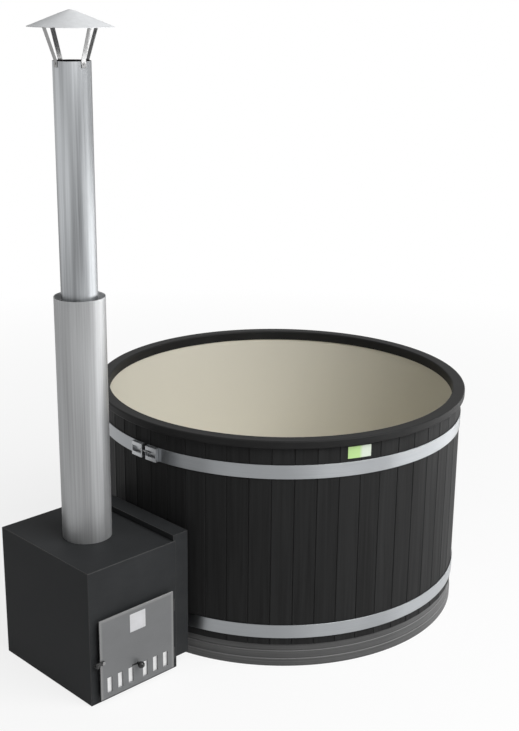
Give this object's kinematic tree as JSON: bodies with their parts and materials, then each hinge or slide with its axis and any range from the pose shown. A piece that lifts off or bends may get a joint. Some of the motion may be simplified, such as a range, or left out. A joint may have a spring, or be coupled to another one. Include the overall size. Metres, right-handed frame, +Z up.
{
  "type": "wood-fired hot tub",
  "caption": "Round stave hot tub with steel bands and a moulded liner, heated by an outside box stove with a hinged door, sliding air control, shielded flue and conical cap.",
  "frame": {"origin": "centre of the round tub, on the floor", "axes": "+Z up, -X from the tub's centre to the stove, -Y the way the stove's door faces"},
  "size_m": [2.139, 1.6479, 2.592],
  "materials": {
    "base_board": "satin, dark grey",
    "timber": "raw softwood",
    "stave_wood": "black stained boards",
    "liner_plastic": "glossy beige",
    "black_plastic": "satin black",
    "band_steel": "brushed stainless",
    "plate_finish": "plain pale print, blank",
    "drain_plastic": "satin grey",
    "plug_rubber": "matte black",
    "stove_paint": "fine black powder coat",
    "stove_steel": "dull dark steel",
    "grate_iron": "raw",
    "door_steel": "satin grey steel",
    "bright_steel": "bright",
    "gasket_rope": "pale woven rope",
    "knob_plastic": "glossy black",
    "line_plastic": "satin dark grey",
    "line_rubber": "matte black",
    "flue_steel": "polished stainless"
  },
  "bodies": {
    "tub": {"base_ring": "base_board", "base_joists": "timber", "floor_boards": "timber", "staves": "stave_wood", "liner": "liner_plastic", "rim_ring": "black_plastic", "upper_band": "band_steel", "lower_band": "band_steel", "band_lugs": "band_steel", "band_bolts": "band_steel", "band_nuts": "band_steel", "badge_plate": "plate_finish", "drain_fitting": "drain_plastic", "drain_pipe": "drain_plastic", "stove_casing": "stove_paint", "connection_shroud": "stove_paint", "stove_feet": "stove_steel", "jacket_tank": "stove_steel", "firebox": "stove_steel", "door_frame": "stove_steel", "grate_rails": "stove_steel", "hinge_brackets": "stove_steel", "hinge_pins": "stove_steel", "latch_keeper": "stove_steel", "grate": "grate_iron", "tank_stubs": "line_plastic", "wall_fittings": "line_plastic", "wall_nuts": "line_plastic", "port_grilles": "line_plastic", "wall_seals": "line_rubber", "hose_sleeves": "line_rubber", "hose_clamps": "flue_steel", "flue_collar": "flue_steel", "flue_pipe": "flue_steel", "heat_shield": "flue_steel", "shield_spacers": "flue_steel", "cap_cone": "flue_steel", "cap_struts": "flue_steel", "cap_rivets": "flue_steel"},
    "door": {"door_panel": "door_steel", "door_back": "door_steel", "door_spacers": "door_steel", "door_gasket": "gasket_rope", "door_plate": "plate_finish", "door_knuckles": "stove_steel", "latch_pivot": "bright_steel"},
    "latch": {"latch_hook": "bright_steel"},
    "slider": {"draft_slider": "bright_steel", "draft_knob": "knob_plastic"},
    "plug": {"drain_plug": "plug_rubber"}
  },
  "joints": [
    {"name": "door_hinge", "type": "hinge", "parent": "tub", "child": "door", "pos_m": [-0.9015, -0.303, 0.15], "axis": [0, 0, 1], "range_deg": [0, 120]},
    {"name": "latch_turn", "type": "hinge", "parent": "door", "child": "latch", "pos_m": [-1.264, -0.31, 0.184], "axis": [0, 1, 0], "range_deg": [0, 80]},
    {"name": "draft_slide", "type": "slide", "parent": "door", "child": "slider", "axis": [-1, 0, 0], "range_m": [0, 0.026]},
    {"name": "plug_lift", "type": "slide", "parent": "tub", "child": "plug", "axis": [0, 0, 1], "range_m": [0, 0.12]}
  ]
}
